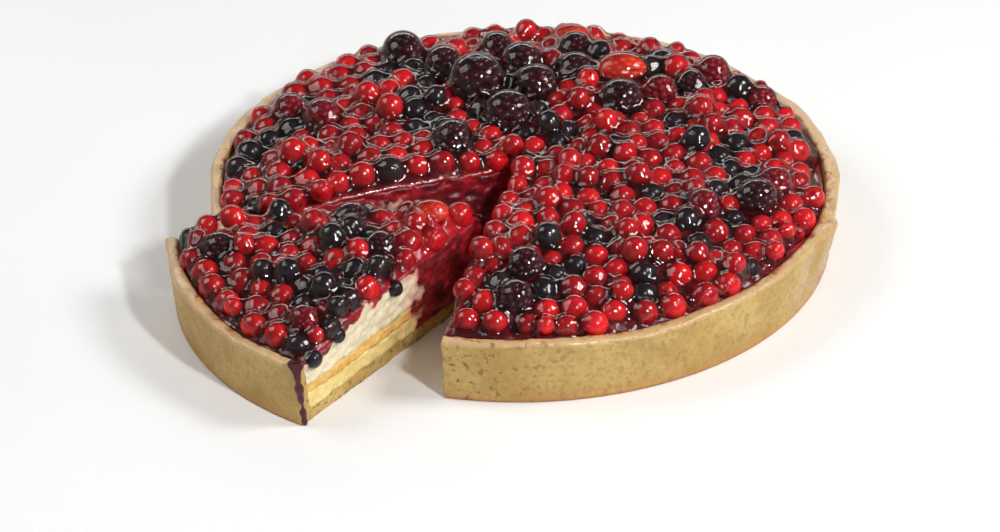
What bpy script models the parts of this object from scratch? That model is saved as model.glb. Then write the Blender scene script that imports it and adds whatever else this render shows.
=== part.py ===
"""A mixed-berry tart with one slice cut and drawn part of the way out.

Metres, +Z up. The tart is made whole: a turned pastry case, three turned layers and a
heap of small berries. A wedge is cut from every one of them for the notch, and the same
whole shapes are cut to a slightly narrower wedge for the slice, which is then turned and
moved outwards. The large berries are separate objects, each in a pocket of the heap.

Origin: centre of the bounding box, on the surface that the tart stands on.
"""

import math
import random

import bmesh
import bpy
from mathutils import Matrix, Vector, geometry

# Pastry case
RIM_RADIUS = 0.135
FOOT_RADIUS = 0.1305
WALL_HEIGHT = 0.031
WALL_THICKNESS = 0.0065
BASE_THICKNESS = 0.006
INNER_CHAMFER = 0.003
EDGE_ROUNDING = 0.0013

# Layers, as heights above the surface
CUSTARD_TOP = 0.013
SPONGE_TOP = 0.018
CREAM_EDGE_TOP = 0.025
CREAM_MIDDLE_TOP = 0.037
CREAM_FALL_POWER = 4

# Heap of small berries on the cream
BERRY_PITCH = 0.0140
BERRY_RISE = 0.0105
HOLLOW_RISE = 0.0065
HEAP_EDGE_TOP = 0.0300
HEAP_FOOT = CREAM_EDGE_TOP - 0.004
EDGE_CLEARANCE = 0.7  # of the lattice's pitch
UNEVEN_HEIGHT = 0.0012
UNEVEN_PLACE = 0.0006

# Cuts: the notch in the tart, and the slice with its place beside the notch
NOTCH_START = math.radians(196.5)
NOTCH_END = math.radians(254.5)
SLICE_ANGLE = math.radians(54)
SLICE_TURN = math.radians(-18)
SLICE_TIP = Vector((-0.13 * RIM_RADIUS, -0.30 * RIM_RADIUS, 0))
TIP_OFFSET = 0.0007

GAP = 0.0003
STEPS = 60
SEED = 11
CUT_BELOW = -0.01
CUT_ABOVE = 0.09

# Large berries, each as (direction in degrees, distance from the tart's axis in mm, length in mm)
BRAMBLES = (
    (118, 110, 19), (113, 86, 18), (108, 63, 24), (96, 98, 15), (90, 79, 18), (84, 57, 19),
    (76, 98, 16), (72, 76, 16), (101, 33, 20), (160, 32, 18), (47, 62, 18), (54, 104, 14),
    (41, 97, 14), (342, 104, 17), (270, 88, 16), (268, 109, 16),
)
RASPBERRIES = (
    (156, 94, 16), (153, 112, 15), (42, 80, 15), (44, 115, 15), (29, 118, 13), (351, 108, 14),
    (331, 87, 15),
)
STRAWBERRIES = ((79, 114, 16), (58, 82, 22))

# The same on the slice, with directions from the slice's own middle line
SLICE_BRAMBLES = ((-16, 113, 15), (-17, 56, 14), (10, 54, 13))
SLICE_RASPBERRIES = ((20, 111, 13),)
SLICE_STRAWBERRIES = ((0, 25, 17),)

# Each large berry is turned on from the one before; the tart's strawberries lie nearly along X
BERRY_TURN = 1.1
STRAWBERRY_TURN = 0.1

# Width and height of a large berry as shares of its length, and how far its lumps stand out
BERRY_FORMS = {
    "bramble": (0.88, 0.76, 0.05),
    "raspberry": (0.92, 0.80, 0.05),
    "strawberry": (0.66, 0.56, 0.015),
}
STRAWBERRY_TAPER = 0.35
BERRY_SEGMENTS, BERRY_RINGS = 10, 6
BERRY_CLEARANCE = 0.003

# A pocket is a coarse net round the lumps: its flat faces lie this much further out
POCKET_SEGMENTS, POCKET_RINGS = 8, 5
POCKET_GROWTH = 1 / (math.cos(math.pi / POCKET_SEGMENTS) * math.cos(math.pi / POCKET_RINGS / 2))
POCKET_MARGIN = 0.0003

COLOURS = {
    "crust": (0.68, 0.46, 0.20, 0.75),
    "custard": (0.90, 0.76, 0.38, 0.60),
    "sponge": (0.86, 0.55, 0.20, 0.80),
    "cream": (0.90, 0.84, 0.62, 0.55),
    "berries": (0.50, 0.01, 0.02, 0.20),
    "bramble": (0.03, 0.008, 0.012, 0.20),
    "raspberry": (0.20, 0.01, 0.02, 0.25),
    "strawberry": (0.60, 0.02, 0.02, 0.25),
}


def clear_scene():
    for obj in list(bpy.data.objects):
        bpy.data.objects.remove(obj)


def collection(name):
    made = bpy.data.collections.new(name)
    bpy.context.scene.collection.children.link(made)
    return made


def material(kind):
    found = bpy.data.materials.get(kind)
    if found:
        return found
    red, green, blue, roughness = COLOURS[kind]
    made = bpy.data.materials.new(kind)
    made.use_nodes = True
    shader = made.node_tree.nodes["Principled BSDF"]
    shader.inputs["Base Color"].default_value = (red, green, blue, 1)
    shader.inputs["Roughness"].default_value = roughness
    shader.inputs["Metallic"].default_value = 0
    return made


def finished(shape, name):
    """Turns a bmesh into a mesh."""
    mesh = bpy.data.meshes.new(name)
    shape.to_mesh(mesh)
    shape.free()
    return mesh


def add_object(name, mesh, group, parent):
    obj = bpy.data.objects.new(name, mesh)
    group.objects.link(obj)
    obj.parent = parent
    return obj


def add_empty(name, group, place, turn=0.0, parent=None):
    empty = add_object(name, None, group, parent)
    empty.location = place
    empty.rotation_euler = (0, 0, turn)
    return empty


# The case's section. The wall leans outwards, so its radii grow with height.


def outer_radius(height):
    return FOOT_RADIUS + (RIM_RADIUS - FOOT_RADIUS) * height / WALL_HEIGHT


def inner_radius(height):
    return outer_radius(height) - WALL_THICKNESS


def filling_radius(height):
    return inner_radius(height) - GAP


def case_section():
    """From the axis along the floor, up the inside, over the rim and down the outside."""
    floor, rim, edge = BASE_THICKNESS, WALL_HEIGHT, EDGE_ROUNDING
    return [
        (0, floor),
        (inner_radius(floor) - INNER_CHAMFER, floor),
        (inner_radius(floor + INNER_CHAMFER), floor + INNER_CHAMFER),
        (inner_radius(rim - edge), rim - edge),
        (inner_radius(rim) + edge, rim),
        (outer_radius(rim) - edge, rim),
        (outer_radius(rim - edge), rim - edge),
        (outer_radius(rim / 2), rim / 2),
        (outer_radius(edge), edge),
        (FOOT_RADIUS - edge, 0),
        (0, 0),
    ]


def custard_section():
    low = BASE_THICKNESS + GAP
    shift = GAP * (math.sqrt(2) - 1)
    side = low + INNER_CHAMFER
    return [
        (0, CUSTARD_TOP),
        (filling_radius(CUSTARD_TOP), CUSTARD_TOP),
        (filling_radius(side), side),
        (inner_radius(BASE_THICKNESS) - INNER_CHAMFER - shift, low),
        (0, low),
    ]


def sponge_section():
    low = CUSTARD_TOP + GAP
    return [
        (0, SPONGE_TOP),
        (filling_radius(SPONGE_TOP), SPONGE_TOP),
        (filling_radius(low), low),
        (0, low),
    ]


def cream_height(radius):
    """The cream is nearly level in the middle and falls towards the wall."""
    fall = (radius / filling_radius(CREAM_EDGE_TOP)) ** CREAM_FALL_POWER
    return CREAM_MIDDLE_TOP - (CREAM_MIDDLE_TOP - CREAM_EDGE_TOP) * min(fall, 1)


def dome(raised):
    """The cream's upper surface from the axis to the wall, raised by a clearance."""
    edge = filling_radius(CREAM_EDGE_TOP)
    shares = (0, 0.45, 0.68, 0.84, 0.93, 1)
    return [(edge * share, cream_height(edge * share) + raised) for share in shares]


def cream_section():
    low = SPONGE_TOP + GAP
    return dome(0) + [(filling_radius(low), low), (0, low)]


def dome_cutter_section():
    """Everything under the heap: the cream's dome raised by the gap, wider than the heap."""
    wide = RIM_RADIUS
    edge_height = CREAM_EDGE_TOP + GAP
    return dome(GAP) + [(wide, edge_height), (wide, CUT_BELOW), (0, CUT_BELOW)]


def turned(name, section, group):
    """A closed solid of revolution about Z, as a mesh."""
    outline = bmesh.new()
    points = [outline.verts.new((radius, 0, height)) for radius, height in section]
    for first, second in zip(points, points[1:]):
        outline.edges.new((first, second))
    obj = add_object(name, finished(outline, name), group, None)
    screw = obj.modifiers.new("turn", "SCREW")
    screw.axis = "Z"
    screw.steps = STEPS
    screw.render_steps = STEPS
    screw.use_merge_vertices = True
    screw.merge_threshold = 0.00001
    return evaluated_mesh(obj)


def evaluated_mesh(obj):
    """The object's mesh with its modifiers applied. The object is removed."""
    bpy.context.view_layer.update()
    graph = bpy.context.evaluated_depsgraph_get()
    mesh = bpy.data.meshes.new_from_object(obj.evaluated_get(graph))
    bpy.data.objects.remove(obj)
    return mesh


# A hand-pressed case is never quite round or level.


def wall_bulge(angle):
    waves = 0.5 * math.sin(5 * angle + 1.0) + 0.35 * math.sin(11 * angle + 2.3)
    waves += 0.25 * math.sin(17 * angle + 0.7)
    fold_centre, fold_width, fold_size = math.radians(343), math.radians(4), 3.0
    away = (angle - fold_centre + math.pi) % (2 * math.pi) - math.pi
    fold = fold_size * math.exp(-((away / fold_width) ** 2))
    return 0.001 * (waves + fold)


def rim_rise(angle):
    return 0.001 * (0.4 * math.sin(7 * angle + 0.4) + 0.3 * math.sin(13 * angle + 1.9))


def make_uneven(mesh):
    """Moves the outside of the wall in and out, and the rim up and down."""
    rim_zone = WALL_HEIGHT - 2 * EDGE_ROUNDING
    for vertex in mesh.vertices:
        x, y, z = vertex.co
        radius, angle = math.hypot(x, y), math.atan2(y, x)
        if radius > inner_radius(z) + EDGE_ROUNDING and z > 0:
            radius += wall_bulge(angle) * z / WALL_HEIGHT
        if z > rim_zone:
            z += rim_rise(angle)
        vertex.co = (radius * math.cos(angle), radius * math.sin(angle), z)


# The heap's top is a lattice in which every third point is a berry and the rest are hollows.


def heap_points(draw):
    edge = filling_radius(HEAP_EDGE_TOP)
    ring_angles = [2 * math.pi * step / STEPS for step in range(STEPS)]
    points = [Vector((edge * math.cos(a), edge * math.sin(a), HEAP_EDGE_TOP)) for a in ring_angles]
    pitch = BERRY_PITCH / math.sqrt(3)
    reach = int(2 * edge / pitch)
    for row in range(-reach, reach + 1):
        for column in range(-reach, reach + 1):
            x = pitch * (column + row / 2) + draw.uniform(-1, 1) * UNEVEN_PLACE
            y = pitch * row * math.sqrt(3) / 2 + draw.uniform(-1, 1) * UNEVEN_PLACE
            rise = BERRY_RISE if (column - row) % 3 == 0 else HOLLOW_RISE
            radius = math.hypot(x, y)
            if radius < edge - pitch * EDGE_CLEARANCE:
                height = cream_height(radius) + rise + draw.uniform(-1, 1) * UNEVEN_HEIGHT
                points.append(Vector((x, y, height)))
    return points


def heap_block():
    """The heap before its underside is cut: the lattice above, a level face below."""
    points = heap_points(random.Random(SEED))
    border = [(step, (step + 1) % STEPS) for step in range(STEPS)]
    flat = [point.xy for point in points]
    _, _, triangles, originals, _, _ = geometry.delaunay_2d_cdt(flat, border, [], 1, 1e-6)
    shape = bmesh.new()
    tops = [shape.verts.new(points[first[0]]) for first in originals]
    for triangle in triangles:
        shape.faces.new([tops[corner] for corner in triangle])
    radius = filling_radius(HEAP_FOOT)
    ring = tops[:STEPS]
    angles = [math.atan2(vertex.co.y, vertex.co.x) for vertex in ring]
    lows = [shape.verts.new((radius * math.cos(a), radius * math.sin(a), HEAP_FOOT)) for a in angles]
    for step, following in border:
        shape.faces.new((ring[step], lows[step], lows[following], ring[following]))
    shape.faces.new(lows)
    bmesh.ops.recalc_face_normals(shape, faces=shape.faces)
    return finished(shape, "heap_block")


# Cuts


def wedge(name, middle, angle, tip, group, parent):
    """A three-sided prism with one upright edge at the tip, opening about the middle direction."""
    reach = 2 * RIM_RADIUS
    apex = Vector((math.cos(middle), math.sin(middle), 0)) * tip
    sides = [middle - angle / 2, middle + angle / 2]
    far = [apex + Vector((math.cos(side), math.sin(side), 0)) * reach for side in sides]
    shape = bmesh.new()
    corners = [shape.verts.new((p.x, p.y, CUT_BELOW)) for p in (apex, *far)]
    base = shape.faces.new(corners)
    raised = bmesh.ops.extrude_face_region(shape, geom=[base])["geom"]
    top = [item for item in raised if isinstance(item, bmesh.types.BMVert)]
    bmesh.ops.translate(shape, verts=top, vec=(0, 0, CUT_ABOVE - CUT_BELOW))
    bmesh.ops.recalc_face_normals(shape, faces=shape.faces)
    return as_cutter(add_object(name, finished(shape, name), group, parent))


def as_cutter(obj):
    obj.hide_render = True
    obj.display_type = "WIRE"
    return obj


def cut(obj, cutter, operation):
    boolean = obj.modifiers.new(cutter.name, "BOOLEAN")
    boolean.operation = operation
    boolean.solver = "EXACT"
    boolean.object = cutter


# Large berries


def berry_net(segments, rings):
    """A ball of diameter 1 whose poles lie on X, in triangles."""
    net = bmesh.new()
    bmesh.ops.create_uvsphere(net, u_segments=segments, v_segments=rings, radius=0.5)
    bmesh.ops.rotate(net, verts=net.verts, matrix=Matrix.Rotation(math.pi / 2, 3, "Y"))
    bmesh.ops.triangulate(net, faces=net.faces)
    return net


def to_berry_size(point, kind, length, swell):
    """Moves a point of the net to where the berry's skin is. A strawberry narrows towards +X."""
    width_share, height_share, _ = BERRY_FORMS[kind]
    taper = 1 - STRAWBERRY_TAPER * 2 * point.x if kind == "strawberry" else 1
    point.x *= length * swell
    point.y *= length * width_share * taper * swell
    point.z *= length * height_share * taper * swell


def lumpy_berry(kind, length):
    """Every other point of the net stands out as a lump."""
    lump = BERRY_FORMS[kind][2]
    net = berry_net(BERRY_SEGMENTS, BERRY_RINGS)
    for vertex in net.verts:
        around = round(math.atan2(vertex.co.z, vertex.co.y) / (2 * math.pi) * BERRY_SEGMENTS)
        along = round(math.acos(max(-1, min(1, 2 * vertex.co.x))) / math.pi * BERRY_RINGS)
        to_berry_size(vertex.co, kind, length, 1 + lump * (1 if (around + along) % 2 else -1))
    return finished(net, kind)


def pocket_of(kind, length):
    lump = BERRY_FORMS[kind][2]
    net = berry_net(POCKET_SEGMENTS, POCKET_RINGS)
    for vertex in net.verts:
        to_berry_size(vertex.co, kind, length, (1 + lump) * POCKET_GROWTH)
        vertex.co += vertex.co.normalized() * POCKET_MARGIN
    return finished(net, f"{kind}_pocket")


def berry_place(kind, direction, distance, length):
    """A large berry lies just above the cream, across the line from the tart's axis."""
    height = length * BERRY_FORMS[kind][1]
    if kind == "strawberry":
        height *= 1 + STRAWBERRY_TAPER
    across = distance * math.cos(direction), distance * math.sin(direction)
    return Vector((*across, cream_height(distance) + BERRY_CLEARANCE + height / 2))


def add_berries(kind, places, middle, first, groups, parent, pockets):
    """Adds one object for each place, and its swollen copy to the pockets."""
    parts, cutters = groups
    for number, (degrees, distance_mm, length_mm) in enumerate(places, first):
        direction, length = middle + math.radians(degrees), length_mm / 1000
        name = f"{kind}_{number:02d}"
        mesh = lumpy_berry(kind, length)
        mesh.materials.append(material(kind))
        obj = add_object(name, mesh, parts, parent)
        obj.location = berry_place(kind, direction, distance_mm / 1000, length)
        obj.rotation_euler = (0, 0, number * BERRY_TURN)
        if kind == "strawberry":
            obj.rotation_euler = (0, 0, direction if parent.name == "slice_tip" else STRAWBERRY_TURN)
        mesh.shade_smooth()
        pocket = add_object(f"{name}_pocket", pocket_of(kind, length), cutters, parent)
        pocket.location = obj.location
        pocket.rotation_euler = obj.rotation_euler
        pockets.append(as_cutter(pocket))
    return first + len(places)


def build():
    clear_scene()
    parts, cutters = collection("berry_tart"), collection("cutters")
    slice_middle = (NOTCH_START + NOTCH_END) / 2
    slice_left = slice_middle + SLICE_TURN - SLICE_ANGLE / 2
    slice_right = slice_middle + SLICE_TURN + SLICE_ANGLE / 2
    least_x = SLICE_TIP.x + RIM_RADIUS * min(math.cos(slice_left), math.cos(slice_right))
    if slice_left < math.pi < slice_right:
        least_x = SLICE_TIP.x - RIM_RADIUS
    least_y = SLICE_TIP.y + RIM_RADIUS * math.sin(slice_right)
    centre = Vector((-(RIM_RADIUS + least_x) / 2, -(RIM_RADIUS + least_y) / 2, 0))
    tart = add_empty("tart_axis", parts, centre)
    tip = add_empty("slice_tip", parts, SLICE_TIP, SLICE_TURN, tart)

    whole = {
        "crust": turned("whole_crust", case_section(), cutters),
        "custard": turned("whole_custard", custard_section(), cutters),
        "sponge": turned("whole_sponge", sponge_section(), cutters),
        "cream": turned("whole_cream", cream_section(), cutters),
    }
    make_uneven(whole["crust"])
    heap = add_object("heap", heap_block(), cutters, None)
    under = add_object("under_heap", turned("dome", dome_cutter_section(), cutters), cutters, None)
    cut(heap, as_cutter(under), "DIFFERENCE")
    whole["berries"] = evaluated_mesh(heap)

    notch_angle = NOTCH_END - NOTCH_START
    notch = wedge("notch", slice_middle, notch_angle, -TIP_OFFSET, cutters, tart)
    keep = wedge("slice_outline", slice_middle, SLICE_ANGLE, TIP_OFFSET, cutters, tip)
    for kind, mesh in whole.items():
        mesh.materials.clear()
        mesh.materials.append(material(kind))
        mesh.shade_smooth()
        mesh.set_sharp_from_angle(angle=math.radians(35))
        cut(add_object(f"tart_{kind}", mesh, parts, tart), notch, "DIFFERENCE")
        cut(add_object(f"slice_{kind}", mesh, parts, tip), keep, "INTERSECT")

    groups, tart_pockets, slice_pockets = (parts, cutters), [], []
    on_tart = (("bramble", BRAMBLES), ("raspberry", RASPBERRIES), ("strawberry", STRAWBERRIES))
    on_slice = (
        ("bramble", SLICE_BRAMBLES),
        ("raspberry", SLICE_RASPBERRIES),
        ("strawberry", SLICE_STRAWBERRIES),
    )
    for (kind, places), (_, more) in zip(on_tart, on_slice):
        number = add_berries(kind, places, 0, 1, groups, tart, tart_pockets)
        add_berries(kind, more, slice_middle, number, groups, tip, slice_pockets)
    for pocket in tart_pockets:
        cut(bpy.data.objects["tart_berries"], pocket, "DIFFERENCE")
    for pocket in slice_pockets:
        cut(bpy.data.objects["slice_berries"], pocket, "DIFFERENCE")


build()
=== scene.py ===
"""The looks of a mixed-berry tart with one slice cut and drawn part of the way out.

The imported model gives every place: its layers' heights, the tart's axis, the slice's tip and
the large berries' boxes. Two bodies of pastry and filling are swept about the knife cuts, the
small berries are heaped on the cream by letting each one find the lowest free place, and a
clear jelly is rolled over all of them. Metres, +Z up.
"""

import math
import random

import bmesh
import bpy
import numpy as np
from mathutils import Euler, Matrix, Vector, geometry


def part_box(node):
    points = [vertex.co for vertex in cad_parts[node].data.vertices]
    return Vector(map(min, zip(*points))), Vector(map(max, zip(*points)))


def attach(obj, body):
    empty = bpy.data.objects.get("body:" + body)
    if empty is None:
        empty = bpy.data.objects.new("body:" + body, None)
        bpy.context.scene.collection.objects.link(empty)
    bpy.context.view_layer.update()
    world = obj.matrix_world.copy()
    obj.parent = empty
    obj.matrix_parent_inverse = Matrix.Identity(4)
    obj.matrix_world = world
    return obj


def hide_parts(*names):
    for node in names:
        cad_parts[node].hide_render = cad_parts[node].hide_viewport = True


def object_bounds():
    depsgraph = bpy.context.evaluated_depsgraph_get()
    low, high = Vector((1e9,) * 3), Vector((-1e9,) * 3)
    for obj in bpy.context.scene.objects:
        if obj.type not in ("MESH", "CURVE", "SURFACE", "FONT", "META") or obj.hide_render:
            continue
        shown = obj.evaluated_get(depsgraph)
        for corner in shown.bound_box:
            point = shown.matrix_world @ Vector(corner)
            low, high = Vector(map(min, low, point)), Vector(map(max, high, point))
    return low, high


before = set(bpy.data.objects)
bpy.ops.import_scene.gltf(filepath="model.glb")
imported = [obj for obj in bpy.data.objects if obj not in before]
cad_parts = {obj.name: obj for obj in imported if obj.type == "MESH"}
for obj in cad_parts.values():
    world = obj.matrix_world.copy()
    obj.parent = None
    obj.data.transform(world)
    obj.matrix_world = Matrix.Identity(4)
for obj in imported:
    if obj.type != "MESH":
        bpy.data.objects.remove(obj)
cad_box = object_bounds()

MM = 0.001

# Pastry case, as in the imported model
RIM_RADIUS = 0.135
FOOT_RADIUS = 0.1305
WALL_THICKNESS = 0.0065
WALL_HEIGHT = 0.031
BASE_THICKNESS = 0.006
FOLD = math.radians(343)

# Cuts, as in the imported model
NOTCH_START = math.radians(196.5)
NOTCH_END = math.radians(254.5)
SLICE_ANGLE = math.radians(54)
SLICE_TURN = math.radians(-18)
TIP_OFFSET = 0.0007

# The cream's dome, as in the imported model
CREAM_EDGE_TOP = 0.025
CREAM_FALL_POWER = 4
CREAM_WALL_TOP = 0.0282  # where the cream is squeezed up against the wall
HEAP_WALL_TOP = 0.0298  # where juice and jelly meet the wall

SIZE_MARGIN = 0.1 * MM
SEED = 7


# ---------------------------------------------------------------- small mathematics


def eased(low, high, value):
    """0 below low, 1 above high, and a smooth rise between."""
    share = np.clip((value - low) / (high - low), 0, 1)
    return share * share * (3 - 2 * share)


def unevenness(points, wavelength, seed, waves=16):
    """Smooth random relief from about -1 to 1: plane waves in random directions, added up."""
    draw = np.random.default_rng(seed)
    directions = draw.normal(size=(waves, 3))
    directions /= np.linalg.norm(directions, axis=1)[:, None]
    numbers = 2 * math.pi / wavelength * draw.uniform(0.6, 1.5, waves)
    phases = draw.uniform(0, 2 * math.pi, waves)
    total = np.sin(points @ (directions * numbers[:, None]).T + phases).sum(axis=1)
    return total / math.sqrt(waves)


def turn_from(angle, start):
    """The turn from one direction to another, from minus to plus half a circle."""
    return (angle - start + math.pi) % (2 * math.pi) - math.pi


def direction(angle):
    return np.stack([np.cos(angle), np.sin(angle)], axis=-1)


# ---------------------------------------------------------------- the two bodies


class Body:
    """What one side of the knife cuts keeps: the tart, or the slice."""

    def __init__(self, name, apex, axis, start, end, turn):
        self.name, self.apex, self.axis = name, np.array(apex), np.array(axis)
        self.start, self.end, self.turn = start, end, turn
        self.convex = end - start < math.pi

    def place(self, radius, angle, height):
        """Points from their distance to the case's axis and their direction from the apex."""
        away, ray = self.apex - self.axis, direction(angle)
        along = ray @ away
        reach = -along + np.sqrt(RIM_RADIUS**2 - away @ away + along**2)
        flat = self.apex + ray * (radius / RIM_RADIUS * reach)[:, None]
        return np.column_stack([flat, height])

    def inside_cuts(self, x, y):
        """Distance from the nearer knife cut, positive inside the body."""
        dx, dy = x - self.apex[0], y - self.apex[1]
        first = math.cos(self.start) * dy - math.sin(self.start) * dx
        last = math.sin(self.end) * dx - math.cos(self.end) * dy
        return np.minimum(first, last) if self.convex else np.maximum(first, last)

    def radius(self, x, y):
        return np.hypot(x - self.axis[0], y - self.axis[1])

    def angle(self, x, y):
        """Direction from the case's axis before the slice was turned."""
        return np.arctan2(y - self.axis[1], x - self.axis[0]) - self.turn


def make_bodies():
    low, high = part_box("tart_cream")
    tart_axis = np.array((low + high)[:2]) / 2
    notch_middle = (NOTCH_START + NOTCH_END) / 2
    tart_apex = tart_axis - TIP_OFFSET * direction(notch_middle)
    slice_apex = np.array(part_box("slice_cream")[1][:2])
    slice_middle = notch_middle + SLICE_TURN
    slice_axis = slice_apex - TIP_OFFSET * direction(slice_middle)
    left, right = slice_middle - SLICE_ANGLE / 2, slice_middle + SLICE_ANGLE / 2
    full = 2 * math.pi
    return (
        Body("tart", tart_apex, tart_axis, NOTCH_END, NOTCH_START + full, 0),
        Body("slice", slice_apex, slice_axis, left, right, SLICE_TURN),
    )


TART, SLICE = BODIES = make_bodies()
CUSTARD_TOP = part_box("tart_custard")[1].z
SPONGE_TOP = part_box("tart_sponge")[1].z
CREAM_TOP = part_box("tart_cream")[1].z


def outer_radius(height):
    return FOOT_RADIUS + (RIM_RADIUS - FOOT_RADIUS) * height / WALL_HEIGHT


def inner_radius(height):
    return outer_radius(height) - WALL_THICKNESS


def cream_height(radius):
    fall = np.clip(radius / inner_radius(CREAM_EDGE_TOP), 0, 1) ** CREAM_FALL_POWER
    return CREAM_TOP - (CREAM_TOP - CREAM_EDGE_TOP) * fall


def shown_cream_height(radius):
    return np.maximum(cream_height(radius), CREAM_WALL_TOP)


def wall_bulge(angle):
    """How a hand-pressed wall leans in and out, and its fold near the right-hand side."""
    waves = 0.5 * np.sin(5 * angle + 1.0) + 0.35 * np.sin(11 * angle + 2.3)
    waves += 0.25 * np.sin(17 * angle + 0.7)
    fold = np.exp(-((turn_from(angle, FOLD) / math.radians(4)) ** 2))
    return MM * (waves + 3.0 * fold)


def rim_rise(angle):
    return MM * (0.4 * np.sin(7 * angle + 0.4) + 0.3 * np.sin(13 * angle + 1.9))


# ---------------------------------------------------------------- meshes


def make_piece(name, points, faces, finish, replaced=()):
    """A smooth-shaded mesh object that rides on the tart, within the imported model's size."""
    low, high = (np.array(corner) for corner in cad_box)
    points = np.clip(points, low + (SIZE_MARGIN, SIZE_MARGIN, 0), high - SIZE_MARGIN)
    mesh = bpy.data.meshes.new(name)
    mesh.from_pydata(points.tolist(), [], faces)
    mesh.validate()
    mesh.shade_smooth()
    mesh.materials.append(finish)
    piece = bpy.data.objects.new(name, mesh)
    bpy.context.scene.collection.objects.link(piece)
    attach(piece, "root")
    if replaced:
        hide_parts(*replaced)
    return piece


def turn_outwards(piece):
    shape = bmesh.new()
    shape.from_mesh(piece.data)
    bmesh.ops.recalc_face_normals(shape, faces=shape.faces)
    shape.to_mesh(piece.data)
    shape.free()


def paint(piece, **layers):
    """Stores one number a point, under each name, for the materials to read."""
    for name, values in layers.items():
        layer = piece.data.attributes.new(name, "FLOAT", "POINT")
        layer.data.foreach_set("value", np.asarray(values, dtype=np.float32))


def spaced(points, step):
    """The points of an open outline with more put between them, about a step apart."""
    result = [points[0]]
    for first, second in zip(points, points[1:]):
        count = max(1, round(math.dist(first, second) / step))
        for number in range(1, count + 1):
            share = number / count
            result.append(tuple(a + (b - a) * share for a, b in zip(first, second)))
    return result


def swept(body, outline, steps, cell, seed):
    """A solid swept from one knife cut to the other.

    The outline runs from the axis outwards along the top and back to the axis along the
    bottom. Returns each point's radius, angle and height, which cut it lies on (-1 the
    first, 1 the last), and the faces. The cut faces have a net of points of their own.
    """
    top, rim, bottom = outline[0], outline[1:-1], outline[-1]
    levels = max(1, round((top[1] - bottom[1]) / cell))
    tip = [(0.0, top[1] + (bottom[1] - top[1]) * n / levels) for n in range(levels + 1)]
    angles = np.linspace(body.start, body.end, steps + 1)
    cylinder = [(0.0, body.start, height) for _, height in tip]
    side = [0] * len(tip)
    faces = []
    count, base = len(rim), len(tip)
    for number, angle in enumerate(angles):
        cylinder += [(radius, angle, height) for radius, height in rim]
        side += [-1 if number == 0 else 1 if number == steps else 0] * count
    for number in range(steps):
        here, there = base + number * count, base + (number + 1) * count
        faces.append((0, here, there))
        faces += [(here + n, here + n + 1, there + n + 1, there + n) for n in range(count - 1)]
        faces.append((here + count - 1, base - 1, there + count - 1))
    border = list(rim) + tip[::-1]
    loop = [(n, (n + 1) % len(border)) for n in range(len(border))]
    inner = inner_points(border, cell, random.Random(seed))
    flat = [Vector(point) for point in border + inner]
    _, _, triangles, originals, _, _ = geometry.delaunay_2d_cdt(flat, loop, [], 1, 1e-7)
    for which, ring, angle in ((-1, base, body.start), (1, base + steps * count, body.end)):
        known = list(range(ring, ring + count)) + list(range(base))[::-1]
        added = len(cylinder)
        cylinder += [(radius, angle, height) for radius, height in inner]
        side += [which] * len(inner)
        known += range(added, added + len(inner))
        for triangle in triangles:
            faces.append(tuple(known[originals[corner][0]] for corner in triangle))
    return np.array(cylinder), np.array(side), faces


def inner_points(border, cell, draw):
    """A slightly irregular net of points inside a closed outline, clear of its edge."""
    flat = np.array(border)
    low, high = flat.min(axis=0), flat.max(axis=0)
    edges = list(zip(border, border[1:] + border[:1]))
    points = []
    for row in range(int((high[1] - low[1]) / cell) + 1):
        for column in range(int((high[0] - low[0]) / cell) + 1):
            x = low[0] + cell * (column + 0.5 * (row % 2) + draw.uniform(-0.15, 0.15))
            y = low[1] + cell * (row + 0.5 + draw.uniform(-0.15, 0.15))
            if enclosed(x, y, edges) and clear(x, y, flat, cell * 0.55):
                points.append((x, y))
    return points


def enclosed(x, y, edges):
    crossings = 0
    for (x1, y1), (x2, y2) in edges:
        if (y1 > y) != (y2 > y) and x < x1 + (y - y1) / (y2 - y1) * (x2 - x1):
            crossings += 1
    return crossings % 2 == 1


def clear(x, y, flat, least):
    following = np.roll(flat, -1, axis=0)
    run = following - flat
    share = ((x - flat[:, 0]) * run[:, 0] + (y - flat[:, 1]) * run[:, 1]) / (run**2).sum(axis=1)
    near = flat + run * np.clip(share, 0, 1)[:, None]
    return np.hypot(near[:, 0] - x, near[:, 1] - y).min() > least


def cut_normals(body, side):
    """Outward directions of the knife cuts, for the points that lie on one."""
    first = np.array([math.sin(body.start), -math.cos(body.start), 0])
    last = np.array([-math.sin(body.end), math.cos(body.end), 0])
    return np.where((side == -1)[:, None], first, 0) + np.where((side == 1)[:, None], last, 0)


# ---------------------------------------------------------------- materials


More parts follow.
